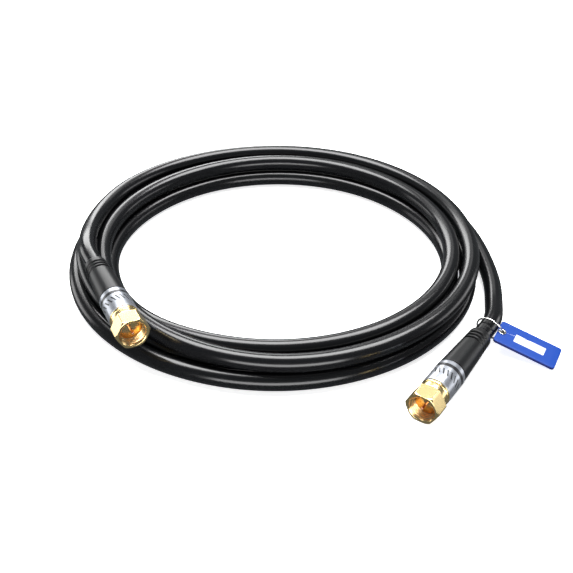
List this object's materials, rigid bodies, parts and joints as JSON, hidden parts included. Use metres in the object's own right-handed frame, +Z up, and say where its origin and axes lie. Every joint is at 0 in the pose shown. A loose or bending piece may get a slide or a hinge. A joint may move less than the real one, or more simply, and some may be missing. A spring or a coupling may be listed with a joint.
{
  "type": "coaxial cable coil",
  "caption": "Coiled black coaxial patch cable lying flat, with gold-plated F-type screw-on plugs at both ends and a blue tag on a wire ring.",
  "frame": {"origin": "bottom centre of the part's box, on the floor that the coil lies on", "axes": "+Z up, along the coil's axis; -Y towards the side on which both plugs point; +X towards the side with the tag"},
  "size_m": [0.189, 0.1858, 0.0253],
  "materials": {
    "jacket": "glossy black PVC",
    "boot": "satin black moulded PVC",
    "sleeve": "satin silver with a black printed band",
    "gold_plating": "polished gold plating",
    "copper": "bare drawn copper",
    "ring_metal": "polished nickel-plated wire and eyelet",
    "tag_plastic": "smooth royal blue plastic"
  },
  "bodies": {
    "cable": {"cable_coil": "jacket", "cable_lead_left": "jacket", "cable_lead_right": "jacket", "boot_left": "boot", "boot_right": "boot", "sleeve_left": "sleeve", "sleeve_right": "sleeve", "connector_body_left": "gold_plating", "connector_body_right": "gold_plating", "center_conductor_left": "copper", "center_conductor_right": "copper"},
    "nut_left": {"hex_nut_left": "gold_plating"},
    "nut_right": {"hex_nut_right": "gold_plating"},
    "tag_hanger": {"tag_ring": "ring_metal", "tag_eyelet": "ring_metal", "tag": "tag_plastic"}
  },
  "joints": [
    {"name": "nut_left_spin", "type": "hinge", "parent": "cable", "child": "nut_left", "pos_m": [-0.06078, -0.06433, 0.0197], "axis": [0.4332, -0.9013, 0], "continuous": true},
    {"name": "nut_right_spin", "type": "hinge", "parent": "cable", "child": "nut_right", "pos_m": [0.03964, -0.08715, 0.0056], "axis": [-0.5621, -0.8271, 0], "continuous": true},
    {"name": "tag_ring_turn", "type": "hinge", "parent": "cable", "child": "tag_hanger", "pos_m": [0.06803, -0.04538, 0.0056], "axis": [-0.5621, -0.8271, 0], "range_deg": [0, 90]}
  ]
}
